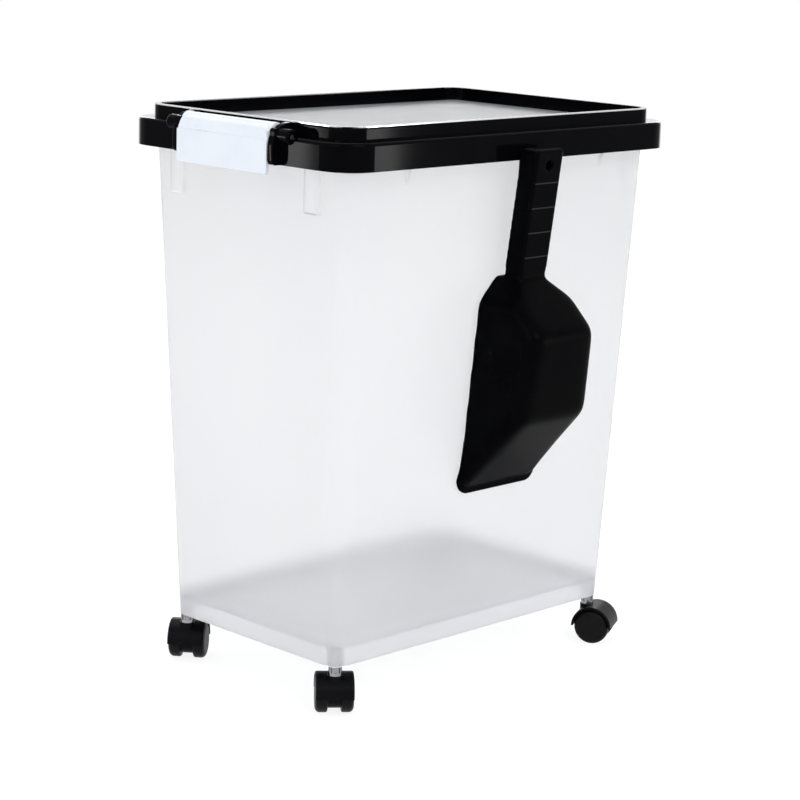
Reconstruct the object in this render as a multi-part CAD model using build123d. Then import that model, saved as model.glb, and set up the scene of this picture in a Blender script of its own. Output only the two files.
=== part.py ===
from build123d import *
from math import acos, cos, degrees, radians, sin, sqrt
import os

# A rolling pet food storage container: a tall translucent tub on four twin wheel casters, a two-tier
# lid with a sunken window and a latch at each end, and a scoop that hangs on the long front side.
# Millimetres. X runs along the long side, Y along the short side with the front at -Y, Z is up.
# The solids are built round the middle of the tub and moved to the middle of the whole at the end.

# Casters
wheel_radius = 15.2
wheel_width = 10.0
wheel_outer_round = 4.0
wheel_inner_round = 1.5
axle_radius = 2.0
axle_depth_in_wheel = 6.5
axle_end_gap = 0.5
axle_chamfer = 0.4
hood_web = 10.0
wheel_side_gap = 0.5
wheel_rim_gap = 0.8
hood_wall = 1.8
hood_edge_land = 0.2
web_inset = 3.5
trail = 7.5
stem_radius = 3.2
stem_chamfer = 0.5
stem_boss_radius = 6.0
stem_depth_in_hood = 8.0
collar_radius = 5.4
collar_height = 7.1
collar_seat_gap = 0.3
collar_tooth_count = 10
collar_tooth_width = 1.5
collar_tooth_depth = 1.0
collar_base_height = 2.6
caster_inset_x = 9.0
caster_inset_y = 9.0
caster_turns = {"front_left": 140.0, "front_right": 27.0, "back_left": 129.0, "back_right": 129.0}

# Caster sockets
socket_wall = 1.2
socket_flange_radius = 5.6
socket_flange_height = 1.6
socket_depth = 13.0
stem_end_gap = 1.0

# Tub
tub_length = 355.7
tub_width = 231.4
tub_height = 407.5
tub_draft = 0.0385
tub_wall = 2.6
tub_floor = 3.0
tub_corner_radius = 17.0
base_recess = 14.0
corner_boss_wall = 2.4
lip_overhang = 3.5
lip_height = 10.0
lip_below_rim = 14.0
pad_width = 16.0
pad_height = 34.0
pad_offset_y = 79.0
pad_depth = 3.2
gusset_offset_x = 113.0
gusset_width = 3.0
gusset_height = 12.0

# Lid
gasket_height = 4.5
gasket_overhang = 1.2
gasket_side_gap = 0.3
ledge_height = 3.0
ledge_width = 9.0
window_thickness = 3.0
window_side_gap = 0.3
recess_depth = 10.0
upper_overhang = 3.2
upper_tier_height = 10.6
rim_width = 5.0
rim_round = 2.0
skirt_overhang = 15.0
skirt_corner_radius = 29.5
skirt_height = 22.0
skirt_wall = 2.6
skirt_round = 3.0
deck_height = 2.5
plug_depth = 17.0
plug_wall = 2.4
plug_gap = 1.2

# Latches and their pins
latch_width = 105.0
latch_side_gap = 0.7
latch_proud = 9.2
latch_plate = 3.0
latch_cap_height = 4.6
latch_cap_round = 3.5
latch_top_round = 9.0
latch_foot_round = 4.0
latch_step_depth = 1.2
latch_step_below_top = 7.7
latch_notch_width = 16.0
latch_notch_height = 4.6
latch_notch_depth = 1.6
latch_notch_offset = 23.0
barrel_radius = 5.6
web_half_height = 3.0
pin_radius = 2.5
pin_inset = 0.8
pin_below_top = 10.5
catch_gap = 0.4
hook_thickness = 2.2
hook_wall_gap = 0.9
hook_inset = 9.0
notch_depth = 2.3
cheek_width = 5.2
cheek_proud = 6.5
cheek_round = 3.0
cheek_lip_gap = 1.3
boss_radius = 6.0
boss_width = 13.0

# Scoop
scoop_offset_x = 8.5
scoop_mouth_gap = 1.0
scoop_wall = 2.4
bowl_shoulder_z = 344.0
bowl_deepest_z = 306.0
bowl_low_z = 236.0
bowl_lip_z = 164.5
bowl_lip_band = 5.0
bowl_depth = 68.0
bowl_low_depth = 61.0
bowl_lip_depth = 3.6
bowl_lip_width = 94.0
bowl_neck_width = 73.0
bowl_neck_z = 326.0
bowl_edge_round = 10.0
bowl_corner_round = 12.0
mouth_cut = 4.0
handle_width = 32.0
handle_depth = 18.0
handle_top_z = 449.0
handle_foot_reach = 27.5
handle_top_reach = 37.5
handle_edge_round = 2.5
groove_width = 1.2
groove_depth = 0.6
groove_pitch = 20.0
groove_count = 4
groove_below_top = 29.0

# Scoop hanger
peg_rise = 15.0
peg_radius = 3.4
peg_shoulder_radius = 4.4
peg_below_skirt = 12.4
peg_proud = 0.8
peg_hole_gap = 0.3
peg_seat_gap = 0.4
hanger_plate_width = 26.0
hanger_plate_height = 24.0
hanger_plate_depth = 3.0

# Fits
running_gap = 0.05
margin = 1.0

# Levels, from the floor up
hood_radius = wheel_radius + wheel_rim_gap + hood_wall
hood_top_z = wheel_radius + hood_radius
socket_low_z = hood_top_z + collar_height + collar_seat_gap
base_z = socket_low_z + socket_flange_height
floor_z = base_z + base_recess + tub_floor
rim_z = base_z + tub_height
lip_low_z = rim_z - lip_below_rim
ledge_low_z = rim_z + gasket_height
window_low_z = ledge_low_z + ledge_height
lid_top_z = window_low_z + window_thickness + recess_depth
deck_top_z = lid_top_z - upper_tier_height
skirt_low_z = deck_top_z - skirt_height
pin_z = lid_top_z - pin_below_top

# Plan sizes
skirt_length = tub_length + 2 * skirt_overhang
skirt_width = tub_width + 2 * skirt_overhang
upper_length = tub_length + 2 * upper_overhang
upper_width = tub_width + 2 * upper_overhang
upper_radius = tub_corner_radius + upper_overhang
pin_x = skirt_length / 2 - pin_inset
latch_face_x = skirt_length / 2 + latch_proud
notch_wall_x = upper_length / 2 - notch_depth
cheek_start_y = latch_width / 2 + latch_side_gap
boss_start_y = cheek_start_y + cheek_width
pin_end_y = boss_start_y + boss_width


def tub_inset(z):
    """How far the tub's drafted wall stands in from its size at the rim, at level z."""
    return tub_draft * (rim_z - z)


def tub_outline(z, inset):
    """The tub's rounded outline at level z, moved in by inset."""
    shrink = 2 * (tub_inset(z) + inset)
    outline = RectangleRounded(tub_length - shrink, tub_width - shrink, tub_corner_radius - inset)
    return Pos(0, 0, z) * outline


def tub_block(low, high, inset):
    """The solid inside the tub's drafted outline between two levels."""
    return loft([tub_outline(low, inset), tub_outline(high, inset)])


def slab(length, width, radius, low, high):
    """An upright block with rounded corners between two levels."""
    return Pos(0, 0, low) * extrude(RectangleRounded(length, width, radius), high - low)


def box_between(x_low, x_high, y_low, y_high, z_low, z_high):
    """A plain block given by its limits."""
    middle = Pos((x_low + x_high) / 2, (y_low + y_high) / 2, (z_low + z_high) / 2)
    return middle * Box(x_high - x_low, y_high - y_low, z_high - z_low)


def rod_y(radius, y_low, y_high):
    """A round rod along Y on the axis through x = 0, z = 0."""
    return Pos(0, (y_low + y_high) / 2, 0) * Rot(90, 0, 0) * Cylinder(radius, y_high - y_low)


def caster_places():
    """The stem position and turn of each caster, by the name of its corner."""
    stand_x = tub_length / 2 - tub_inset(base_z) - caster_inset_x
    stand_y = tub_width / 2 - tub_inset(base_z) - caster_inset_y
    sides = {"left": -1, "right": 1, "front": -1, "back": 1}
    places = {}
    for corner, turn in caster_turns.items():
        depth_side, length_side = corner.split("_")
        places[corner] = (sides[length_side] * stand_x, sides[depth_side] * stand_y, turn)
    return places


def tub():
    """The tub: drafted walls, raised floor, rim lip, corner bosses, nesting pads and gussets."""
    body = tub_block(base_z, rim_z, 0)
    body -= tub_block(floor_z, rim_z + margin, tub_wall)
    body -= tub_block(base_z - margin, floor_z - tub_floor, tub_wall)
    # lip that stiffens the rim and catches the latches
    lip_size = 2 * (lip_overhang - tub_inset(lip_low_z))
    lip_radius = tub_corner_radius + lip_overhang
    lip = slab(tub_length + lip_size, tub_width + lip_size, lip_radius, lip_low_z, lip_low_z + lip_height)
    body += lip - tub_block(lip_low_z - margin, lip_low_z + lip_height + margin, tub_wall / 2)
    # corner bosses under the floor
    corner_boss_radius = stem_radius + running_gap + socket_wall + corner_boss_wall
    for x, y, turn in caster_places().values():
        boss_height = floor_z - tub_floor - base_z
        boss = Pos(x, y, base_z + boss_height / 2) * Cylinder(corner_boss_radius, boss_height)
        body += boss & tub_block(base_z, floor_z, tub_wall / 2)
        bore = Cylinder(stem_radius + running_gap + socket_wall, socket_depth + margin)
        body -= Pos(x, y, base_z - margin + (socket_depth + margin) / 2) * bore
    return body + nesting_pads() + gussets()


def nesting_pads():
    """Upright pads under the lip on the short ends, which keep stacked tubs from wedging."""
    pads = []
    for x_side in (-1, 1):
        for y_side in (-1, 1):
            reach = tub_length / 2 - tub_inset(lip_low_z) + pad_depth
            pad = box_between(0, reach, -pad_width / 2, pad_width / 2, lip_low_z - pad_height, lip_low_z)
            pad = pad - tub_block(base_z, rim_z, tub_wall / 2)
            pad = fillet(pad.edges().filter_by(Axis.Z).sort_by(Axis.X)[-2:], pad_depth / 2)
            turn = Rot(0, 0, 0 if x_side > 0 else 180)
            pads.append(turn * Pos(0, y_side * pad_offset_y, 0) * pad)
    return pads


def gussets():
    """Thin triangular gussets under the lip on the long sides."""
    plates = []
    wall_y = tub_width / 2 - tub_inset(lip_low_z)
    points = [
        (wall_y - tub_wall / 2, lip_low_z),
        (wall_y + lip_overhang, lip_low_z),
        (wall_y - tub_draft * gusset_height, lip_low_z - gusset_height),
        (wall_y - tub_wall / 2, lip_low_z - gusset_height),
    ]
    outline = Plane.YZ * Polygon(*points, align=None)
    plate = extrude(outline, gusset_width / 2, both=True)
    for x_side in (-1, 1):
        for turn in (0, 180):
            plates.append(Rot(0, 0, turn) * Pos(x_side * gusset_offset_x, 0, 0) * plate)
    return plates


def caster_socket():
    """The flanged sleeve that the stem turns in, standing on the stem's axis at the tub's base."""
    bore = stem_radius + running_gap
    sleeve = Pos(0, 0, base_z + socket_depth / 2) * Cylinder(bore + socket_wall, socket_depth)
    flange = Pos(0, 0, base_z - socket_flange_height / 2) * Cylinder(socket_flange_radius, socket_flange_height)
    hole_height = socket_depth + socket_flange_height + 2 * margin
    hole = Pos(0, 0, socket_low_z - margin + hole_height / 2) * Cylinder(bore, hole_height)
    return sleeve + flange - hole


def caster_stem():
    """The turned steel stem with its toothed collar, on the stem's axis."""
    top = base_z + socket_depth - stem_end_gap
    low = hood_top_z - stem_depth_in_hood
    shaft = Pos(0, 0, (top + low) / 2) * Cylinder(stem_radius, top - low)
    shaft = chamfer(shaft.edges().sort_by(Axis.Z)[-1], stem_chamfer)
    collar = Pos(0, 0, hood_top_z + collar_height / 2) * Cylinder(collar_radius, collar_height)
    teeth_height = collar_height - collar_base_height
    cutter = box_between(
        collar_radius - collar_tooth_depth, collar_radius + margin,
        -collar_tooth_width / 2, collar_tooth_width / 2,
        hood_top_z + collar_base_height, hood_top_z + collar_base_height + teeth_height,
    )
    for index in range(collar_tooth_count):
        collar -= Rot(0, 0, index * 360 / collar_tooth_count) * cutter
    return shaft + collar


def caster_hood():
    """The hood over both wheels, with the web between them. Axle along Y, stem axis at x = 0."""
    half_width = hood_web / 2 + wheel_side_gap + wheel_width
    cover = rod_y(hood_radius, -half_width, half_width)
    cover = fillet(cover.edges().filter_by(GeomType.CIRCLE), hood_wall - hood_edge_land)
    cover -= box_between(-hood_radius - margin, hood_radius + margin, -half_width - margin,
                         half_width + margin, -hood_radius - margin, 0)
    boss_low = hood_radius - stem_depth_in_hood - hood_wall
    boss = Pos(trail, 0, (hood_radius + boss_low) / 2) * Cylinder(stem_boss_radius, hood_radius - boss_low)
    body = cover + boss
    clear_radius = wheel_radius + wheel_rim_gap
    for side in (-1, 1):
        ends = sorted((side * hood_web / 2, side * (half_width + margin)))
        body -= rod_y(clear_radius, ends[0], ends[1])
    web = rod_y(wheel_radius - web_inset, -hood_web / 2, hood_web / 2)
    web += box_between(0, trail, -hood_web / 2, hood_web / 2, 0, hood_radius - hood_wall)
    body += web
    body -= rod_y(axle_radius + running_gap, -half_width, half_width)
    bore_depth = stem_depth_in_hood + margin
    body -= Pos(trail, 0, hood_radius - stem_depth_in_hood + bore_depth / 2) * Cylinder(stem_radius, bore_depth)
    return Pos(-trail, 0, wheel_radius) * body


def caster_axle():
    """The axle pin through the web and both wheels."""
    reach = hood_web / 2 + wheel_side_gap + axle_depth_in_wheel
    pin = rod_y(axle_radius, -reach, reach)
    return Pos(-trail, 0, wheel_radius) * chamfer(pin.edges().filter_by(GeomType.CIRCLE), axle_chamfer)


def caster_wheel(side):
    """One wheel with a well rounded outer edge and a blind bore, on the side given by the sign."""
    inner = hood_web / 2 + wheel_side_gap
    wheel = rod_y(wheel_radius, inner, inner + wheel_width)
    rims = wheel.edges().filter_by(GeomType.CIRCLE).sort_by(Axis.Y)
    wheel = fillet(rims[0], wheel_inner_round)
    rims = wheel.edges().filter_by(GeomType.CIRCLE).sort_by(Axis.Y)
    wheel = fillet(rims[-1], wheel_outer_round)
    wheel -= rod_y(axle_radius + running_gap, inner - margin, inner + axle_depth_in_wheel + axle_end_gap)
    return Pos(-trail, 0, wheel_radius) * Rot(0, 0, 0 if side > 0 else 180) * wheel


def lid_gasket():
    """The soft ring that seals the lid's underside on the tub's rim."""
    inner = plug_size()
    grow = 2 * gasket_side_gap
    ring = slab(tub_length + 2 * gasket_overhang, tub_width + 2 * gasket_overhang,
                tub_corner_radius + gasket_overhang, rim_z, ledge_low_z)
    ring -= slab(inner[0] + grow, inner[1] + grow, inner[2] + gasket_side_gap, rim_z - margin, ledge_low_z + margin)
    return ring


def plug_size():
    """Length, width and corner radius of the plug that enters the tub's mouth."""
    inset = tub_inset(ledge_low_z - plug_depth) + tub_wall + plug_gap
    return tub_length - 2 * inset, tub_width - 2 * inset, tub_corner_radius - tub_wall - plug_gap


def lid_frame():
    """The two-tier black frame with its window ledge, plug, latch notches, cheeks and pin bosses."""
    skirt = slab(skirt_length, skirt_width, skirt_corner_radius, skirt_low_z, deck_top_z)
    skirt = fillet(skirt.edges().group_by(Axis.Z)[-1], skirt_round)
    skirt -= slab(skirt_length - 2 * skirt_wall, skirt_width - 2 * skirt_wall,
                  skirt_corner_radius - skirt_wall, skirt_low_z - margin, deck_top_z - deck_height)
    upper = slab(upper_length, upper_width, upper_radius, ledge_low_z, lid_top_z)
    upper = fillet(upper.edges().group_by(Axis.Z)[-1], rim_round)
    body = skirt + upper
    # well for the window, and the opening under it
    body -= slab(upper_length - 2 * rim_width, upper_width - 2 * rim_width, upper_radius - rim_width,
                 window_low_z, lid_top_z + margin)
    opening = 2 * (rim_width + ledge_width)
    body -= slab(upper_length - opening, upper_width - opening, upper_radius / 2, skirt_low_z, lid_top_z)
    # plug that centres the lid in the tub's mouth
    length, width, radius = plug_size()
    plug = slab(length, width, radius, ledge_low_z - plug_depth, ledge_low_z)
    plug -= slab(length - 2 * plug_wall, width - 2 * plug_wall, radius - plug_wall,
                 ledge_low_z - plug_depth - margin, ledge_low_z + margin)
    body += plug
    # notch for each latch, cheeks beside it and bosses that hold its pin
    for turn in (0, 180):
        notch = box_between(notch_wall_x, latch_face_x + margin, -cheek_start_y, cheek_start_y,
                            skirt_low_z - margin, lid_top_z + margin)
        body -= Rot(0, 0, turn) * notch
        for side in (-1, 1):
            body += Rot(0, 0, turn) * (cheek(side) + pin_boss(side))
        bore = Pos(pin_x, 0, pin_z) * rod_y(pin_radius + running_gap, -pin_end_y, pin_end_y)
        body -= Rot(0, 0, turn) * bore
    return body


def cheek(side):
    """The upright plate beside a latch, rounded at its outer corners."""
    face_x = skirt_length / 2 + cheek_proud
    back_x = tub_length / 2 - tub_inset(lip_low_z) + lip_overhang + cheek_lip_gap
    start = cheek_start_y if side > 0 else -cheek_start_y - cheek_width
    plate = box_between(back_x, face_x, start, start + cheek_width, skirt_low_z, pin_z + boss_radius)
    plate = fillet(plate.edges().filter_by(Axis.Y).sort_by(Axis.X)[-2:], cheek_round)
    root = box_between(upper_length / 2 - rim_width / 2, back_x, start, start + cheek_width,
                       ledge_low_z, pin_z + boss_radius)
    return plate + root


def pin_boss(side):
    """The round boss outside a cheek, over the end of the pin."""
    ends = sorted((side * boss_start_y, side * pin_end_y))
    boss = rod_y(boss_radius, ends[0], ends[1])
    outer_edge = boss.edges().filter_by(GeomType.CIRCLE).sort_by(Axis.Y)[-1 if side > 0 else 0]
    return Pos(pin_x, 0, pin_z) * fillet(outer_edge, boss_radius / 3)


def lid_window():
    """The clear panel on its ledge in the lid's well."""
    shrink = 2 * (rim_width + window_side_gap)
    return slab(upper_length - shrink, upper_width - shrink, upper_radius - rim_width - window_side_gap,
                window_low_z, window_low_z + window_thickness)


def latch_pin():
    """The hinge pin of the latch at +X."""
    half = pin_end_y - margin
    pin = rod_y(pin_radius, -half, half)
    return Pos(pin_x, 0, pin_z) * chamfer(pin.edges().filter_by(GeomType.CIRCLE), pin_radius / 5)


def latch():
    """The snap latch at +X: face plate, top cap, hinge barrel and the hook under the tub's lip."""
    half = latch_width / 2
    wall_x = tub_length / 2 - tub_inset(lip_low_z)
    hook_radius = sqrt((pin_x - wall_x) ** 2 + (pin_z - lip_low_z) ** 2) + catch_gap
    foot_radius = hook_radius + hook_thickness
    # profile round the pin: u points outward, v points up
    face = latch_face_x - pin_x
    foot = -foot_radius
    plate = box_between(face - latch_plate, face, -half, half, foot, latch_cap_height)
    cap = box_between(0, face, -half, half, 0, latch_cap_height)
    shell = plate + cap
    shell = fillet(shell.edges().filter_by(Axis.Y).group_by(Axis.Z)[-1].sort_by(Axis.X)[-1], latch_cap_round)
    outline = latch_outline(half, foot, face)
    shell = shell & outline
    step_z = latch_cap_height - latch_step_below_top
    shell -= box_between(face - latch_step_depth, face + margin, -half - margin, half + margin,
                         step_z, latch_cap_height + margin)
    shell -= box_between(face - latch_step_depth - latch_notch_depth, face + margin,
                         -latch_notch_offset - latch_notch_width / 2, -latch_notch_offset + latch_notch_width / 2,
                         step_z, step_z + latch_notch_height)
    web = box_between(0, face - latch_plate / 2, -half, half, -web_half_height, latch_cap_height - margin) & outline
    barrel = rod_y(barrel_radius, -half, half)
    hook_half = half - hook_inset
    hook = rod_y(foot_radius, -hook_half, hook_half) - rod_y(hook_radius, -half, half)
    tip = wall_x + hook_wall_gap - pin_x
    hook &= box_between(tip, face, -half, half, foot - margin, foot / 2)
    hook &= outline
    body = shell + web + barrel + hook
    below = box_between(-foot_radius, face + margin, -half - margin, half + margin, foot - margin, -barrel_radius)
    body -= below - rod_y(foot_radius, -half - 2 * margin, half + 2 * margin)
    body -= rod_y(pin_radius + running_gap, -half - margin, half + margin)
    return Pos(pin_x, 0, pin_z) * body


def latch_outline(half, foot, face):
    """The latch's face outline as a thick block, with large top corners and small foot corners."""
    reach = 2 * face + latch_plate
    block = box_between(-reach, reach, -half, half, foot, latch_cap_height)
    edges = block.edges().filter_by(Axis.X).sort_by(Axis.Z)
    block = fillet(edges[-2:], latch_top_round)
    edges = block.edges().filter_by(Axis.X).sort_by(Axis.Z)
    return fillet(edges[:2], latch_foot_round)


def bowl_block(inset):
    """The bowl's outer form moved in by inset, with its mouth on the plane y = 0."""
    low_z = bowl_lip_z + bowl_lip_band
    slope = inset / sqrt(2)
    above_mouth = mouth_cut * inset
    profile = [
        (-bowl_lip_depth + inset, low_z + inset),
        (-bowl_low_depth + slope, bowl_low_z + slope),
        (-bowl_depth + inset, bowl_deepest_z),
        (-handle_foot_reach + inset / 2, bowl_shoulder_z - inset),
        (above_mouth, bowl_shoulder_z - inset),
        (above_mouth, low_z + inset),
    ]
    side = extrude(Plane.YZ * Polygon(*profile, align=None), bowl_lip_width, both=True)
    return side & bowl_front(low_z, inset)


def bowl_front(low_z, inset):
    """The bowl's rounded outline seen from the front, moved in by inset, as a deep prism."""
    lip = bowl_lip_width / 2 - inset
    neck = bowl_neck_width / 2 - inset
    top = handle_width / 2
    outline = [
        (-lip, low_z + inset), (lip, low_z + inset), (neck, bowl_neck_z),
        (top, bowl_shoulder_z - inset), (-top, bowl_shoulder_z - inset), (-neck, bowl_neck_z),
    ]
    front = extrude(Plane.XZ * Polygon(*outline, align=None), bowl_depth + handle_depth, both=True)
    upright = front.edges().filter_by(Axis.Y).sort_by(Axis.Z)
    return fillet(upright[:4], bowl_corner_round - inset)


def bowl_form(inset):
    """The bowl's form moved in by inset, with its deep edges rounded."""
    form = bowl_block(inset)
    deep = form.edges().filter_by(lambda edge: edge.center().Y < -bowl_low_depth / 3
                                  and edge.center().Z < bowl_deepest_z + bowl_edge_round)
    return fillet(deep, bowl_edge_round - inset)


def scoop_lip():
    """The flat lip that stands out below the bowl, in the plane of its mouth."""
    half = bowl_lip_width
    top_z = bowl_lip_z + bowl_lip_band + bowl_corner_round
    return bowl_front(bowl_lip_z, 0) & box_between(-half, half, -bowl_lip_depth, 0, bowl_lip_z, top_z)


def handle_block(inset):
    """The handle's outer form moved in by inset, from inside the bowl's shoulder to its top."""
    foot_z = bowl_deepest_z
    lean = (handle_top_reach - handle_foot_reach) / (handle_top_z - bowl_shoulder_z)
    foot_reach = handle_foot_reach - lean * (bowl_shoulder_z - foot_z)
    profile = [
        (-foot_reach + inset, foot_z), (-handle_top_reach + inset, handle_top_z - inset),
        (-handle_top_reach + handle_depth + inset * 2, handle_top_z - inset),
        (-foot_reach + handle_depth + inset * 2, foot_z),
    ]
    half = handle_width / 2 - inset
    return extrude(Plane.YZ * Polygon(*profile, align=None), half, both=True)


def scoop():
    """The scoop: deep bowl with a slanted lip, and a channel handle that drops over the peg."""
    outer = bowl_form(0)
    handle = handle_block(0)
    handle = fillet(handle.edges().filter_by(lambda edge: edge.center().Y < -handle_top_reach / 2
                                             and edge.center().Z > bowl_deepest_z + margin), handle_edge_round)
    handle -= handle_block(scoop_wall)
    body = (handle - outer) + (outer + scoop_lip() - bowl_form(scoop_wall))
    for index in range(groove_count):
        body -= groove(handle_top_z - groove_below_top - index * groove_pitch)
    lean = degrees(acos(1 / sqrt(1 + tub_draft ** 2)))
    return Pos(scoop_offset_x, -scoop_mouth_y(), bowl_shoulder_z) * Rot(lean, 0, 0) * Pos(0, 0, -bowl_shoulder_z) * body


def groove(z):
    """A thin cross groove in the handle's front face at level z."""
    lean = (handle_top_reach - handle_foot_reach) / (handle_top_z - bowl_shoulder_z)
    face = handle_top_reach - lean * (handle_top_z - z)
    return box_between(-handle_width, handle_width, -face - margin, -face + groove_depth,
                       z - groove_width / 2, z + groove_width / 2)


def scoop_mouth_y():
    """How far the scoop's mouth stands out from the middle of the tub at the bowl's shoulder."""
    return tub_width / 2 - tub_inset(bowl_shoulder_z) + scoop_mouth_gap


def scoop_hanger():
    """The bracket under the lip at the front, with the sloping peg that carries the scoop."""
    wall_y = tub_width / 2 - tub_inset(lip_low_z)
    plate = box_between(-hanger_plate_width / 2, hanger_plate_width / 2, -wall_y - hanger_plate_depth,
                        -wall_y + tub_wall, lip_low_z - hanger_plate_height, lip_low_z)
    corners = plate.edges().filter_by(Axis.Y).sort_by(Axis.Z)[:2]
    plate = fillet(corners, hanger_plate_depth)
    peg_z = skirt_low_z - peg_below_skirt
    face_y = scoop_mouth_y() + handle_top_reach
    seat = (face_y - scoop_wall - wall_y - tub_draft * (peg_z - bowl_shoulder_z) / 2) / cos(radians(peg_rise))
    peg = Cylinder(peg_radius, seat + scoop_wall + peg_proud, align=(Align.CENTER, Align.CENTER, Align.MIN))
    peg = fillet(peg.edges().sort_by(Axis.Z)[-1], peg_radius / 4)
    shoulder = Cylinder(peg_shoulder_radius, seat - peg_seat_gap, align=(Align.CENTER, Align.CENTER, Align.MIN))
    arm = Pos(0, -wall_y, peg_z) * Rot(90 - peg_rise, 0, 0) * (peg + shoulder)
    return Pos(scoop_offset_x, 0, 0) * (plate + arm) - tub_block(base_z, rim_z, 0)


def peg_hole():
    """The hanging hole through the handle's front wall, on the peg's axis."""
    wall_y = tub_width / 2 - tub_inset(lip_low_z)
    peg_z = skirt_low_z - peg_below_skirt
    length = scoop_mouth_y() + handle_top_reach
    hole = Cylinder(peg_radius + peg_hole_gap, length, align=(Align.CENTER, Align.CENTER, Align.MIN))
    return Pos(scoop_offset_x, -wall_y, peg_z) * Rot(90 - peg_rise, 0, 0) * hole


def assembly():
    """Every node by name, placed round the middle of the tub."""
    nodes = {
        "tub": tub(),
        "scoop_hanger": scoop_hanger(),
        "lid_frame": lid_frame(),
        "lid_window": lid_window(),
        "lid_gasket": lid_gasket(),
        "scoop": scoop() - peg_hole(),
    }
    for name, turn in (("left", 180), ("right", 0)):
        nodes["latch_" + name] = Rot(0, 0, turn) * latch()
        nodes["latch_pin_" + name] = Rot(0, 0, turn) * latch_pin()
    for corner, (x, y, turn) in caster_places().items():
        place = Pos(x, y, 0) * Rot(0, 0, turn + 90)
        nodes["caster_socket_" + corner] = place * caster_socket()
        nodes["caster_stem_" + corner] = place * caster_stem()
        nodes["caster_hood_" + corner] = place * caster_hood()
        nodes["caster_axle_" + corner] = place * caster_axle()
        nodes["caster_wheel_a_" + corner] = place * caster_wheel(1)
        nodes["caster_wheel_b_" + corner] = place * caster_wheel(-1)
    return nodes


nodes = assembly()
bounds = Compound([shape for shape in nodes.values()]).bounding_box()
to_origin = Pos(-bounds.center().X, -bounds.center().Y, -bounds.min.Z)
os.makedirs("parts", exist_ok=True)
for name, shape in nodes.items():
    export_step(to_origin * shape, "parts/" + name + ".step")
print("moved by", to_origin.position)
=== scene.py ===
"""Rolling pet food storage container: finishes, softened edges, studio and camera around the fixed frame."""
from dataclasses import dataclass, field
from enum import Enum
import logging
import math

import bmesh
import bpy
import numpy as np
from mathutils import Matrix, Vector


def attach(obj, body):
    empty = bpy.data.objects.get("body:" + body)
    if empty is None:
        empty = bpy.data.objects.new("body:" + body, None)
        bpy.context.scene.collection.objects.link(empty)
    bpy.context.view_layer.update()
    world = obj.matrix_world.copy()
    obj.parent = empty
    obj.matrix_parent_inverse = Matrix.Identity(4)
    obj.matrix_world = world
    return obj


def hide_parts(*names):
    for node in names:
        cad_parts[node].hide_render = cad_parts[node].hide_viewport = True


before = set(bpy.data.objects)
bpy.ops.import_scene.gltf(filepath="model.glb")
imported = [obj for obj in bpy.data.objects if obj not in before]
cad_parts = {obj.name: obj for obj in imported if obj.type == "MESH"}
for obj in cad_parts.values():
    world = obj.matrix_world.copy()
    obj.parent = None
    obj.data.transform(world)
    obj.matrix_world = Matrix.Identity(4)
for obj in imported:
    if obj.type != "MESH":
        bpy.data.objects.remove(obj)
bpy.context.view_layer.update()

log = logging.getLogger("container")
MIDDLE_Y = 0.02392          # the container's long middle plane, in metres
MERGE_DISTANCE = 1e-6
FLAT_ANGLE = 0.4            # in degrees
FACE_WEIGHT = 90
CORNERS = ("front_left", "front_right", "back_left", "back_right")


def grey(value: float) -> tuple[float, float, float, float]:
    """An opaque grey for a colour socket."""
    return value, value, value, 1.0


class Wire:
    """One node output, with arithmetic that adds Math nodes."""

    def __init__(self, board: "Board", socket: bpy.types.NodeSocket) -> None:
        """Keeps the board and the output socket."""
        self.board = board
        self.socket = socket

    def _math(self, operation: str, left: object, right: object) -> "Wire":
        """One Math node on two values."""
        return self.board.add("ShaderNodeMath", {"operation": operation}, {0: left, 1: right})

    def __add__(self, other: object) -> "Wire":
        """Sum of this value and another."""
        return self._math("ADD", self, other)

    def __radd__(self, other: object) -> "Wire":
        """Sum with the plain number first."""
        return self._math("ADD", other, self)

    def __sub__(self, other: object) -> "Wire":
        """This value less another."""
        return self._math("SUBTRACT", self, other)

    def __rsub__(self, other: object) -> "Wire":
        """A plain number less this value."""
        return self._math("SUBTRACT", other, self)

    def __mul__(self, other: object) -> "Wire":
        """Product of this value and another."""
        return self._math("MULTIPLY", self, other)

    def __rmul__(self, other: object) -> "Wire":
        """Product with the plain number first."""
        return self._math("MULTIPLY", other, self)

    def clamp(self) -> "Wire":
        """This value held between 0 and 1."""
        return self.board.add("ShaderNodeMath", {"operation": "ADD", "use_clamp": True}, {0: self, 1: 0.0})


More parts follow.
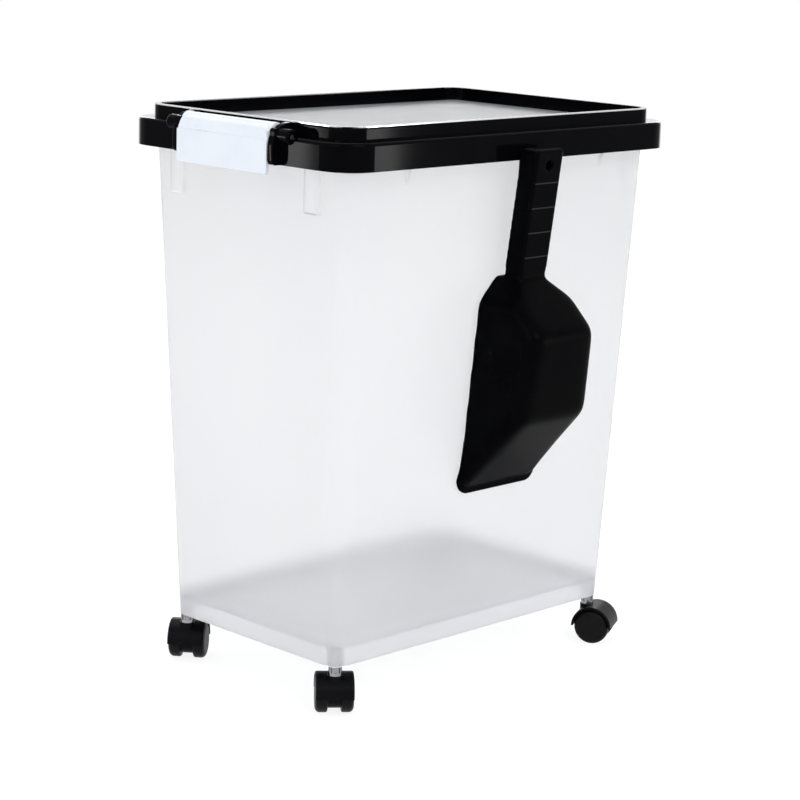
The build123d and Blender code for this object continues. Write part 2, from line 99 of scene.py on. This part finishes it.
class Board:
    """The node tree of a material or a world, with short ways to add nodes to it."""

    def __init__(self, owner: bpy.types.Material | bpy.types.World, output: str) -> None:
        """Empties the owner's tree but for an output node.

        Args:
            owner: the material or world.
            output: the output node's type.
        """
        self.owner = owner
        owner.use_nodes = True
        self.tree = owner.node_tree
        self.tree.nodes.clear()
        self.output = self.tree.nodes.new(output)

    @classmethod
    def for_material(cls, name: str) -> "Board":
        """The board of a new material."""
        return cls(bpy.data.materials.new(name), "ShaderNodeOutputMaterial")

    def add(self, kind: str, settings: dict, inputs: dict, out: object = 0) -> Wire:
        """Adds one node.

        Args:
            kind: the node's type.
            settings: attributes that are set first.
            inputs: values or wires by socket name or number.
            out: the output socket's name or number.

        Returns:
            The wire of the asked output.
        """
        node = self.tree.nodes.new(kind)
        for key, value in settings.items():
            setattr(node, key, value)
        for key, value in inputs.items():
            if isinstance(value, Wire):
                self.tree.links.new(value.socket, node.inputs[key])
            else:
                node.inputs[key].default_value = value
        return Wire(self, node.outputs[out])

    def place(self) -> Wire:
        """The point on the surface in the object's own frame."""
        return self.add("ShaderNodeTexCoord", {}, {}, "Object")

    def along(self, axis: str) -> Wire:
        """The surface point's place along one axis, in metres."""
        return self.add("ShaderNodeSeparateXYZ", {}, {"Vector": self.place()}, axis)

    def band(self, value: Wire, level: float, half: float) -> Wire:
        """1 where a value lies within half a band's width of a level, else 0."""
        return self.add("ShaderNodeMath", {"operation": "COMPARE"}, {0: value, 1: level, 2: half})

    def noise(self, scale: float, detail: float, rough: float = 0.55, point: Wire | None = None) -> Wire:
        """A smooth noise value round 0.5, with scale in waves a metre."""
        return self.add("ShaderNodeTexNoise", {}, {
            "Vector": point or self.place(), "Scale": scale, "Detail": detail, "Roughness": rough,
        }, "Fac")

    def stretched(self, along: tuple[float, float, float]) -> Wire:
        """The surface point with its axes scaled, for brushed or drawn patterns."""
        return self.add("ShaderNodeMapping", {}, {"Vector": self.place(), "Scale": along})

    def spread(self, value: Wire, low: float, high: float, to_low: float, to_high: float) -> Wire:
        """Maps a value from one range to another, held at the ends."""
        return self.add("ShaderNodeMapRange", {"clamp": True}, {
            "Value": value, "From Min": low, "From Max": high, "To Min": to_low, "To Max": to_high,
        })

    def slanted(self, low: float, high: float) -> Wire:
        """How far the surface turns from the eye, from 0 at the low facing value to 1 at the high one."""
        facing = self.add("ShaderNodeLayerWeight", {}, {"Blend": 0.5}, "Facing")
        return self.spread(facing, low, high, 0.0, 1.0)

    def blend(self, factor: Wire, first: Wire | tuple, second: Wire | tuple) -> Wire:
        """A colour between two colours or wires, by a factor."""
        ends = {6: first, 7: second}
        inputs = {key: end if isinstance(end, Wire) else (*end, 1.0) for key, end in ends.items()}
        return self.add("ShaderNodeMix", {"data_type": "RGBA"}, {"Factor": factor} | inputs, 2)

    def bump(self, height: Wire, distance: float) -> Wire:
        """A normal bent by a height, with its full distance in metres."""
        return self.add("ShaderNodeBump", {}, {"Height": height, "Distance": distance, "Strength": 1.0})

    def grain(self, scale: float) -> Wire:
        """A fine noise value for the texture of a moulded surface."""
        return self.noise(scale, 2.0, 0.6)

    def shown(self) -> Wire:
        """1 on rays from the eye, directly or by a gloss or through a clear piece, else 0."""
        path = self.add("ShaderNodeLightPath", {}, {}, "Is Camera Ray")
        glossy = Wire(self, path.socket.node.outputs["Is Glossy Ray"])
        through = Wire(self, path.socket.node.outputs["Is Transmission Ray"])
        return (path + glossy + through).clamp()

    def principled(self, inputs: dict) -> Wire:
        """A Principled shader with values or wires for its sockets."""
        return self.add("ShaderNodeBsdfPrincipled", {}, inputs)

    def mixed(self, factor: Wire, first: Wire, second: Wire) -> Wire:
        """Two shaders mixed by a factor."""
        return self.add("ShaderNodeMixShader", {}, {0: factor, 1: first, 2: second})

    def close(self, shader: Wire) -> bpy.types.Material | bpy.types.World:
        """Closes the tree with a shader.

        Args:
            shader: the shader for the surface.

        Returns:
            The finished material or world.
        """
        self.tree.links.new(shader.socket, self.output.inputs["Surface"])
        return self.owner


@dataclass(frozen=True)
class MouldedPlastic:
    """Opaque injection-moulded plastic with moulding haze, fine texture and handling marks."""

    name: str
    colour: tuple[float, float, float]
    worn: tuple[float, float, float]
    roughness: float
    haze: float
    grain: float
    grain_scale: float
    gloss: float = 0.5
    rim_shine: float = 0.0
    coat_index: float = 1.9
    slant: tuple[float, float] = (0.68, 0.8)
    line_levels: tuple[float, ...] = ()
    line_half: float = 0.0005
    line_colour: tuple[float, float, float] = (0.035, 0.036, 0.04)
    line_side: float = -0.0055
    line_fade: float = 0.001
    index: float = 1.5
    broad_scale: float = 9.0
    smudge_scale: float = 38.0
    smudge_range: tuple[float, float] = (0.35, 0.75)
    smudge_share: float = 0.7

    def make(self) -> bpy.types.Material:
        """Builds the material."""
        board = Board.for_material(self.name)
        broad = board.noise(self.broad_scale, 2.0)
        smudge = board.noise(self.smudge_scale, 5.0, 0.65)
        tint = board.spread(smudge, *self.smudge_range, 0.0, 1.0)
        colour = board.blend(tint, self.colour, self.worn)
        if self.line_levels:
            lines = sum(board.band(board.along("Z"), level, self.line_half) for level in self.line_levels)
            front = board.spread(board.along("X"), self.line_side, self.line_side + self.line_fade, 0.0, 1.0)
            colour = board.blend((lines * front).clamp(), colour, self.line_colour)
        rough = self.roughness + (broad - 0.5) * self.haze + (smudge - 0.5) * (self.haze * self.smudge_share)
        return board.close(board.principled({
            "Base Color": colour,
            "Roughness": rough.clamp(),
            "Normal": board.bump(board.grain(self.grain_scale), self.grain),
            "Specular IOR Level": self.gloss,
            "IOR": self.index,
            "Coat IOR": self.coat_index,
            "Coat Roughness": self.roughness,
            "Coat Weight": board.slanted(*self.slant) * self.rim_shine,
        }))


@dataclass(frozen=True)
class FrostedPlastic:
    """Milky translucent plastic that shows what stands close behind it, milkier and rougher in its base,
    where its colour is darkened as painted shade.
    """

    name: str
    colour: tuple[float, float, float]
    shade: tuple[float, float, float]
    # the base's colour: a painted shade, darker than the walls above
    shaded_base: tuple[float, float, float]
    roughness: float
    thick_roughness: float
    clear: float
    grain: float
    base_levels: tuple[float, float] = (0.056, 0.066)
    milk: float = 0.03
    thick_milk: float = 0.45
    thick_gloss: float = 0.1
    index: float = 1.12
    grain_scale: float = 900.0
    haze_scale: float = 24.0
    haze: float = 0.08
    flow_scale: float = 5.0
    flow_stretch: tuple[float, float, float] = (1.0, 1.0, 0.35)
    flow_range: tuple[float, float] = (0.3, 0.7)

    def make(self) -> bpy.types.Material:
        """Builds the material."""
        board = Board.for_material(self.name)
        flow = board.noise(self.flow_scale, 2.0, 0.5, board.stretched(self.flow_stretch))
        cloud = board.spread(flow, *self.flow_range, 0.0, 1.0)
        # below these levels the colour turns to the base's painted shade, with more milk and roughness
        above_base = board.spread(board.along("Z"), *self.base_levels, 0.0, 1.0)
        colour = board.blend(above_base, self.shaded_base, board.blend(cloud, self.colour, self.shade))
        haze = (board.noise(self.haze_scale, 4.0) - 0.5) * self.haze
        rough = self.thick_roughness + above_base * (self.roughness - self.thick_roughness) + haze
        clear = board.principled({
            "Base Color": colour,
            "Roughness": rough.clamp(),
            "Normal": board.bump(board.grain(self.grain_scale), self.grain),
            "Transmission Weight": self.clear,
            "IOR": self.index,
        })
        milky = board.principled({
            "Base Color": colour,
            "Roughness": self.thick_roughness,
            "Specular IOR Level": self.thick_gloss,
        })
        factor = self.milk + (1.0 - above_base) * (self.thick_milk - self.milk)
        return board.close(board.mixed(factor, clear, milky))


@dataclass(frozen=True)
class BrightMetal:
    """Plated or drawn metal with fine turning lines."""

    name: str
    colour: tuple[float, float, float]
    dull: tuple[float, float, float]
    roughness: float
    lines: float
    turned_scale: float = 140.0
    turned_stretch: tuple[float, float, float] = (0.3, 0.3, 12.0)
    turned_haze: float = 0.16
    stain_scale: float = 160.0
    stain_range: tuple[float, float] = (0.4, 0.8)

    def make(self) -> bpy.types.Material:
        """Builds the material."""
        board = Board.for_material(self.name)
        turned = board.noise(self.turned_scale, 2.0, 0.5, board.stretched(self.turned_stretch))
        stain = board.spread(board.noise(self.stain_scale, 4.0), *self.stain_range, 0.0, 1.0)
        rough = self.roughness + (turned - 0.5) * self.turned_haze
        return board.close(board.principled({
            "Base Color": board.blend(stain, self.colour, self.dull),
            "Metallic": 1.0,
            "Roughness": rough.clamp(),
            "Normal": board.bump(turned, self.lines),
        }))


class Finish(Enum):
    """The finishes of the container."""

    # the tub's darker base colour is a painted shade of its lower part
    TUB = FrostedPlastic(
        "frosted_tub", colour=(0.955, 0.955, 0.965), shade=(0.925, 0.93, 0.94), shaded_base=(0.86, 0.87, 0.89),
        roughness=0.3, thick_roughness=0.55, clear=0.9, grain=0.00001)
    WINDOW = FrostedPlastic(
        "smoky_window", colour=(0.40, 0.42, 0.44), shade=(0.35, 0.37, 0.39), shaded_base=(0.4, 0.4, 0.4),
        roughness=0.34, thick_roughness=0.4, clear=0.6, grain=0.00001)
    LID = MouldedPlastic(
        "gloss_black_lid", colour=(0.0015, 0.0015, 0.0022), worn=(0.0025, 0.0025, 0.0032),
        roughness=0.07, haze=0.03, grain=0.0000005, grain_scale=520.0, gloss=0.02, rim_shine=1.0)
    RIM = MouldedPlastic(
        "gloss_black_rim", colour=(0.0015, 0.0015, 0.0022), worn=(0.0025, 0.0025, 0.0032),
        roughness=0.12, haze=0.03, grain=0.0000005, grain_scale=520.0, gloss=0.02, rim_shine=1.0,
        coat_index=7.0, slant=(0.02, 0.1))
    LATCH = MouldedPlastic(
        "white_latch", colour=(0.84, 0.885, 0.95), worn=(0.80, 0.85, 0.93),
        roughness=0.32, haze=0.08, grain=0.00001, grain_scale=700.0)
    SCOOP = MouldedPlastic(
        "satin_black_scoop", colour=(0.001, 0.001, 0.0016), worn=(0.002, 0.002, 0.0024),
        roughness=0.3, haze=0.1, grain=0.00001, grain_scale=850.0, gloss=0.014,
        line_levels=(0.3605, 0.3805, 0.4005, 0.4205))
    HOOD = MouldedPlastic(
        "black_nylon", colour=(0.002, 0.002, 0.003), worn=(0.004, 0.004, 0.005),
        roughness=0.3, haze=0.12, grain=0.00002, grain_scale=900.0, gloss=0.06)
    WHEEL = MouldedPlastic(
        "black_tread", colour=(0.003, 0.003, 0.0035), worn=(0.006, 0.006, 0.0065),
        roughness=0.42, haze=0.16, grain=0.00004, grain_scale=1100.0, gloss=0.1)
    GASKET = MouldedPlastic(
        "silicone_seal", colour=(0.62, 0.63, 0.64), worn=(0.56, 0.57, 0.58),
        roughness=0.5, haze=0.1, grain=0.00002, grain_scale=900.0)
    CHROME = BrightMetal(
        "chromed_stem", colour=(0.34, 0.34, 0.35), dull=(0.2, 0.2, 0.21), roughness=0.16, lines=0.000008)
    ZINC = BrightMetal(
        "zinc_socket", colour=(0.68, 0.69, 0.71), dull=(0.5, 0.5, 0.52), roughness=0.3, lines=0.00001)
    STEEL = BrightMetal(
        "drawn_pin", colour=(0.6, 0.6, 0.62), dull=(0.44, 0.44, 0.45), roughness=0.28, lines=0.00001)


def dress(piece: bpy.types.Object, material: bpy.types.Material) -> None:
    """Gives every material slot of a piece one material.

    Args:
        piece: the object to dress.
        material: the material that it gets.
    """
    if not piece.data.materials:
        piece.data.materials.append(material)
    for index in range(len(piece.data.materials)):
        piece.data.materials[index] = material


def place_mesh(name: str, mesh: bpy.types.Mesh) -> bpy.types.Object:
    """Puts a mesh in the scene as an object at the origin."""
    piece = bpy.data.objects.new(name, mesh)
    bpy.context.scene.collection.objects.link(piece)
    return piece


def copied(node: str, name: str) -> bpy.types.Object:
    """A copy of a node with merged points and whole flat faces.

    Args:
        node: the node's name.
        name: the new piece's name.

    Returns:
        The new object, at the origin.
    """
    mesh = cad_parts[node].data.copy()
    mesh.name = name
    work = bmesh.new()
    work.from_mesh(mesh)
    bmesh.ops.remove_doubles(work, verts=work.verts, dist=MERGE_DISTANCE)
    bmesh.ops.dissolve_limit(work, angle_limit=math.radians(FLAT_ANGLE), verts=work.verts, edges=work.edges)
    work.to_mesh(mesh)
    work.free()
    return place_mesh(name, mesh)


def round_edges(piece: bpy.types.Object, width: float, segments: int = 3, limit: float = 32.0) -> None:
    """Rounds a piece's edges and keeps its large faces flat.

    Args:
        piece: the piece.
        width: how wide the rounding is, in metres.
        segments: how many strips round an edge.
        limit: the least angle of an edge that is rounded, in degrees.
    """
    for face in piece.data.polygons:
        face.use_smooth = True
    bevel = piece.modifiers.new("round_edges", "BEVEL")
    bevel.width = width
    bevel.segments = segments
    bevel.limit_method = "ANGLE"
    bevel.angle_limit = math.radians(limit)
    bevel.miter_outer = "MITER_ARC"
    weighted = piece.modifiers.new("flat_faces", "WEIGHTED_NORMAL")
    weighted.weight = FACE_WEIGHT
    weighted.keep_sharp = True


def rounded_loop(half_x: float, half_y: float, radius: float, steps: int = 8) -> list[tuple[float, float]]:
    """Points round a rectangle with round corners.

    Args:
        half_x: half its length.
        half_y: half its width.
        radius: the corner radius.
        steps: how many pieces a corner has.

    Returns:
        The points, against the clock.
    """
    points = []
    for quarter, (side_x, side_y) in enumerate(((1, 1), (-1, 1), (-1, -1), (1, -1))):
        for step in range(steps + 1):
            angle = math.pi / 2 * (quarter + step / steps)
            points.append((side_x * (half_x - radius) + radius * math.cos(angle),
                           side_y * (half_y - radius) + radius * math.sin(angle)))
    return points


def extruded(work: bmesh.types.BMesh, faces: list, along: tuple[float, float, float]) -> None:
    """Grows faces into a solid of even thickness.

    Args:
        work: the mesh in work.
        faces: the faces that are grown.
        along: how far they go, in metres.
    """
    grown = bmesh.ops.extrude_face_region(work, geom=faces)
    moved = [item for item in grown["geom"] if isinstance(item, bmesh.types.BMVert)]
    bmesh.ops.translate(work, verts=moved, vec=along)


@dataclass
class SubAssembly:
    """A body of the container, with the finishes of its pieces."""

    body: str
    materials: dict = field(default_factory=dict)

    def finish(self, finish: Finish) -> bpy.types.Material:
        """The material of a finish, made once."""
        if finish not in self.materials:
            self.materials[finish] = finish.value.make()
        return self.materials[finish]

    def dress_node(self, node: str, finish: Finish) -> None:
        """Gives a kept node its finish."""
        dress(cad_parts[node], self.finish(finish))
        log.info("node %s keeps its shape in %s", node, finish.name)

    def join(self, piece: bpy.types.Object, finish: Finish) -> None:
        """Gives a new piece its finish and its body."""
        dress(piece, self.finish(finish))
        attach(piece, self.body)

    def stand_in(self, node: str, name: str, slot: str, finish: Finish) -> bpy.types.Object:
        """Stands a copy in for a node.

        Args:
            node: the node that it stands for.
            name: the new piece's name.
            slot: the record's material slot; not used.
            finish: its finish.

        Returns:
            The new piece.
        """
        piece = copied(node, name)
        self.join(piece, finish)
        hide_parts(node)
        log.info("piece %s stands for %s", name, node)
        return piece

    def new_piece(self, name: str, work: bmesh.types.BMesh, slot: str, finish: Finish) -> bpy.types.Object:
        """Closes a new mesh and lets it ride the body.

        Args:
            name: the piece's name.
            work: its mesh in work, freed here.
            slot: the record's material slot; not used.
            finish: its finish.

        Returns:
            The new piece.
        """
        bmesh.ops.recalc_face_normals(work, faces=work.faces)
        mesh = bpy.data.meshes.new(name)
        work.to_mesh(mesh)
        work.free()
        piece = place_mesh(name, mesh)
        self.join(piece, finish)
        log.info("piece %s rides %s", name, self.body)
        return piece


@dataclass
class Tub(SubAssembly):
    """The translucent tub with its sockets and the scoop's hanger."""

    edge: float = 0.0003
    hanger_share: float = 0.28

    def build(self) -> None:
        """Dresses the tub's pieces and narrows the hanger toward its right end."""
        self.dress_node("tub", Finish.TUB)
        hanger = self.stand_in("scoop_hanger", "scoop_hanger_shell", "scoop_black", Finish.SCOOP)
        round_edges(hanger, self.edge)
        right = max(point.co.x for point in hanger.data.vertices)
        for point in hanger.data.vertices:
            point.co.x = right + (point.co.x - right) * self.hanger_share
        for corner in CORNERS:
            self.dress_node("caster_socket_" + corner, Finish.ZINC)


@dataclass
class Lid(SubAssembly):
    """The two-tier lid with its window, gasket and latch pins."""

    edge: float = 0.0008
    guard_outline: tuple[tuple[float, float], ...] = (
        (0.1814, 0.4545), (0.1814, 0.4693), (0.1868, 0.4690), (0.1925, 0.4672),
        (0.1975, 0.4632), (0.2004, 0.4580), (0.2014, 0.4520), (0.2014, 0.4410),
        (0.2002, 0.4382), (0.1980, 0.4373), (0.1862, 0.4373), (0.1858, 0.4545),
    )
    guard_span: tuple[float, float] = (0.0529, 0.0588)
    guard_angle: float = 40.0
    rim_half: tuple[float, float] = (0.1809, 0.1187)
    rim_round: float = 0.0200
    rim_width: float = 0.0048
    rim_level: float = 0.4702
    well_half: tuple[float, float] = (0.1757, 0.1135)
    well_round: float = 0.0152
    bezel_width: float = 0.010
    bezel_level: float = 0.4611
    ring_thickness: float = 0.0007
    least_corner: float = 0.006

    def build(self) -> None:
        """Dresses the lid's pieces and adds its rings and guards."""
        shell = self.stand_in("lid_frame", "lid_frame_shell", "lid_black", Finish.LID)
        round_edges(shell, self.edge)
        self.flat_ring("window_bezel", self.well_half, self.well_round, self.bezel_width, self.bezel_level,
                       Finish.LID)
        self.flat_ring("rim_land", self.rim_half, self.rim_round, self.rim_width, self.rim_level, Finish.RIM)
        for end in (-1, 1):
            for side in (-1, 1):
                self.guard(end, side)
        self.dress_node("lid_window", Finish.WINDOW)
        self.dress_node("lid_gasket", Finish.GASKET)
        for side in ("left", "right"):
            self.dress_node("latch_pin_" + side, Finish.STEEL)

    def flat_ring(self, name: str, half: tuple[float, float], corner: float, width: float, level: float,
                  finish: Finish) -> None:
        """Lays one thin flat ring with round corners on the lid.

        Args:
            name: the piece's name.
            half: half its length and half its width, at the outside.
            corner: its outer corner radius.
            width: how wide its band is.
            level: the height of its upper face.
            finish: its finish.
        """
        work = bmesh.new()
        edges = []
        for inset in (0.0, width):
            points = rounded_loop(half[0] - inset, half[1] - inset, max(corner - inset, self.least_corner))
            ring = [work.verts.new((x, y + MIDDLE_Y, level)) for x, y in points]
            edges += [work.edges.new((ring[index - 1], ring[index])) for index in range(len(ring))]
        flat = bmesh.ops.bridge_loops(work, edges=edges)
        extruded(work, flat["faces"], (0.0, 0.0, -self.ring_thickness))
        self.new_piece(name, work, "lid_black", finish)

    def guard(self, end: int, side: int) -> None:
        """Stands one rounded guard over a cheek, close beside a latch.

        Args:
            end: -1 or 1, the end of the lid.
            side: -1 or 1, the side of the latch.
        """
        work = bmesh.new()
        near, far = (MIDDLE_Y + side * reach for reach in self.guard_span)
        points = [work.verts.new((end * x, near, z)) for x, z in self.guard_outline]
        extruded(work, [work.faces.new(points)], (0.0, far - near, 0.0))
        name = "latch_guard_%s_%s" % ("right" if end > 0 else "left", "back" if side > 0 else "front")
        piece = self.new_piece(name, work, "lid_black", Finish.LID)
        round_edges(piece, self.edge, limit=self.guard_angle)


@dataclass
class Latch(SubAssembly):
    """One white snap latch, with its cap drawn up beside the lid's rim."""

    side: str = "left"
    edge: float = 0.0007
    cap_start: float = 0.4603
    cap_end: float = 0.4633
    cap_lift: float = 0.0048
    cap_slope: tuple[float, float, float] = (0.188, 0.2005, 0.0026)
    hook_top: float = 0.4468
    hook_reach: float = 0.1985
    hook_share: float = 0.66

    def build(self) -> None:
        """Stands a softened latch in for its node, with a sloping cap and a narrow hook."""
        piece = self.stand_in("latch_" + self.side, "latch_shell_" + self.side, "latch_white", Finish.LATCH)
        round_edges(piece, self.edge)
        inner, outer, drop = self.cap_slope
        for point in piece.data.vertices:
            share = (point.co.z - self.cap_start) / (self.cap_end - self.cap_start)
            out = (abs(point.co.x) - inner) / (outer - inner)
            lift = self.cap_lift - drop * min(1.0, max(0.0, out))
            point.co.z += lift * min(1.0, max(0.0, share))
            if point.co.z < self.hook_top and abs(point.co.x) < self.hook_reach:
                point.co.y = MIDDLE_Y + (point.co.y - MIDDLE_Y) * self.hook_share


@dataclass
class Scoop(SubAssembly):
    """The black scoop."""

    cell: float = 0.0011
    rounds: int = 100
    handle_rounds: int = 2
    pull: float = 0.5
    bowl_levels: tuple[float, float, float, float] = (0.176, 0.205, 0.325, 0.352)

    def build(self) -> None:
        """Stands a softened scoop in for its node, with its bowl's folds melted into each other."""
        piece = self.stand_in("scoop", "scoop_shell", "scoop_black", Finish.SCOOP)
        cells = piece.modifiers.new("even_cells", "REMESH")
        cells.mode = "VOXEL"
        cells.voxel_size = self.cell
        cells.use_smooth_shade = True
        ready = piece.evaluated_get(bpy.context.evaluated_depsgraph_get())
        mesh = bpy.data.meshes.new_from_object(ready)
        piece.modifiers.clear()
        piece.data = mesh
        self.melt(mesh)
        dress(piece, self.finish(Finish.SCOOP))

    def melt(self, mesh: bpy.types.Mesh) -> None:
        """Draws each point of the bowl toward its neighbours, and of the handle a little.

        Args:
            mesh: the mesh of even cells.
        """
        count = len(mesh.vertices)
        points = np.empty(count * 3)
        mesh.vertices.foreach_get("co", points)
        points = points.reshape(count, 3)
        ends = np.empty(len(mesh.edges) * 2, dtype=np.int64)
        mesh.edges.foreach_get("vertices", ends)
        ends = ends.reshape(-1, 2)
        near = np.bincount(ends.ravel(), minlength=count)[:, None]
        low, full_low, full_high, high = self.bowl_levels
        level = points[:, 2]
        on_bowl = np.minimum(np.interp(level, (low, full_low), (0.0, 1.0)),
                             np.interp(level, (full_high, high), (1.0, 0.0)))[:, None]
        for turn in range(self.rounds):
            total = np.zeros_like(points)
            for axis in range(3):
                total[:, axis] = np.bincount(ends[:, 0], points[ends[:, 1], axis], count)
                total[:, axis] += np.bincount(ends[:, 1], points[ends[:, 0], axis], count)
            share = 1.0 if turn < self.handle_rounds else on_bowl
            points += (total / near - points) * (share * self.pull)
        mesh.vertices.foreach_set("co", points.ravel())
        mesh.update()


@dataclass
class Caster(SubAssembly):
    """One twin wheel caster with its stem, hood, axle and wheels."""

    corner: str = "front_left"
    edge: float = 0.0005

    def build(self) -> None:
        """Dresses the caster's pieces."""
        hood = self.stand_in("caster_hood_" + self.corner, "caster_hood_shell_" + self.corner, "caster_black",
                             Finish.HOOD)
        round_edges(hood, self.edge)
        self.dress_node("caster_stem_" + self.corner, Finish.CHROME)
        self.dress_node("caster_axle_" + self.corner, Finish.STEEL)
        for letter in ("a", "b"):
            self.dress_node("caster_wheel_%s_%s" % (letter, self.corner), Finish.WHEEL)


@dataclass(frozen=True)
class Softbox:
    """One rectangular lamp: its place and size in metres and its power in watts."""

    name: str
    place: tuple[float, float, float]
    size: tuple[float, float]
    power: float


@dataclass
class Studio:
    """The camera, the pale floor and the soft lamps."""

    azimuth: float = -45.253
    elevation: float = 11.672
    roll: float = 1.689
    distance: float = 1.9984
    aim: tuple[float, float, float] = (0.0, 0.02392, 0.235)
    focal_pixels: float = 2356.8
    image_pixels: float = 800.0
    centre_pixels: tuple[float, float] = (398.15, 383.14)
    sensor_width: float = 36.0
    floor_size: float = 14.0
    floor_grey: float = 0.8
    floor_shade: float = 0.24
    floor_glow: float = 0.86
    sky: float = 0.62
    sky_colour: tuple[float, float, float] = (0.97, 0.98, 1.0)
    softboxes: tuple[Softbox, ...] = (
        Softbox("key_softbox", (-0.4, -2.6, 2.3), (1.8, 1.5), 34.0),
        Softbox("side_softbox", (-2.7, -0.2, 1.5), (1.4, 1.8), 11.0),
        Softbox("back_softbox", (1.7, 1.72, 0.98), (1.8, 0.3), 7.0),
        Softbox("top_softbox", (0.2, 0.9, 2.8), (2.2, 1.6), 20.0),
        Softbox("left_strip", (-1.405, 1.263, 0.27), (0.055, 0.5), 2.2),
        Softbox("front_strip", (1.103, -1.379, 0.27), (0.045, 0.5), 1.9),
    )

    def build(self) -> None:
        """Makes the studio."""
        self.camera()
        self.floor()
        self.world()
        for softbox in self.softboxes:
            self.lamp(softbox)
        bpy.context.scene.view_settings.view_transform = "Standard"

    def camera(self) -> None:
        """Sets the camera at the photograph's angle."""
        azimuth = math.radians(self.azimuth)
        elevation = math.radians(self.elevation)
        roll = math.radians(self.roll)
        back = Vector((math.sin(azimuth) * math.cos(elevation), -math.cos(azimuth) * math.cos(elevation),
                       math.sin(elevation)))
        right = Vector((0.0, 0.0, 1.0)).cross(back).normalized()
        up = back.cross(right)
        turned_right = right * math.cos(roll) + up * math.sin(roll)
        turned_up = up * math.cos(roll) - right * math.sin(roll)
        data = bpy.data.cameras.new("view")
        camera = bpy.data.objects.new("view", data)
        bpy.context.scene.collection.objects.link(camera)
        turn = Matrix((turned_right, turned_up, back)).transposed()
        camera.matrix_world = Matrix.Translation(Vector(self.aim) + back * self.distance) @ turn.to_4x4()
        data.sensor_width = self.sensor_width
        data.lens = self.focal_pixels * data.sensor_width / self.image_pixels
        half = self.image_pixels / 2
        data.shift_x = (half - self.centre_pixels[0]) / self.image_pixels
        data.shift_y = (self.centre_pixels[1] - half) / self.image_pixels
        bpy.context.scene.camera = camera

    def floor(self) -> None:
        """Lays the pale floor, white where it is seen and not shaded."""
        mesh = bpy.data.meshes.new("floor")
        work = bmesh.new()
        bmesh.ops.create_grid(work, x_segments=1, y_segments=1, size=self.floor_size / 2)
        work.to_mesh(mesh)
        work.free()
        board = Board.for_material("pale_floor")
        plain = board.add("ShaderNodeBsdfDiffuse", {}, {"Color": grey(self.floor_grey)})
        glow = board.add("ShaderNodeEmission", {}, {"Color": grey(1.0), "Strength": self.floor_glow})
        shaded = board.add("ShaderNodeBsdfDiffuse", {}, {"Color": grey(self.floor_shade)})
        seen = board.add("ShaderNodeAddShader", {}, {0: shaded, 1: glow})
        mesh.materials.append(board.close(board.mixed(board.shown(), plain, seen)))
        place_mesh("floor", mesh)

    def world(self) -> None:
        """Lights the room evenly and shows it white."""
        board = Board(bpy.data.worlds.new("room"), "ShaderNodeOutputWorld")
        room = board.add("ShaderNodeBackground", {}, {"Color": (*self.sky_colour, 1.0), "Strength": self.sky})
        white = board.add("ShaderNodeBackground", {}, {"Color": grey(1.0), "Strength": 1.0})
        bpy.context.scene.world = board.close(board.mixed(board.shown(), room, white))

    def lamp(self, softbox: Softbox) -> None:
        """Hangs one softbox that faces the container."""
        data = bpy.data.lights.new(softbox.name, "AREA")
        data.shape = "RECTANGLE"
        data.size, data.size_y = softbox.size
        data.energy = softbox.power
        lamp = bpy.data.objects.new(softbox.name, data)
        lamp.visible_camera = False
        bpy.context.scene.collection.objects.link(lamp)
        place = Vector(softbox.place)
        turn = (Vector(self.aim) - place).to_track_quat("-Z", "Y")
        lamp.matrix_world = Matrix.Translation(place) @ turn.to_matrix().to_4x4()


def main() -> None:
    """Builds the container's sub-assemblies in order, then the studio."""
    logging.basicConfig(level=logging.INFO, format="%(name)s: %(message)s")
    materials: dict = {}
    Tub("tub", materials).build()
    Lid("lid", materials).build()
    for side in ("left", "right"):
        Latch("latch_" + side, materials, side).build()
    Scoop("scoop", materials).build()
    for corner in CORNERS:
        Caster("caster_" + corner, materials, corner).build()
    Studio().build()


if __name__ == "__main__":
    main()
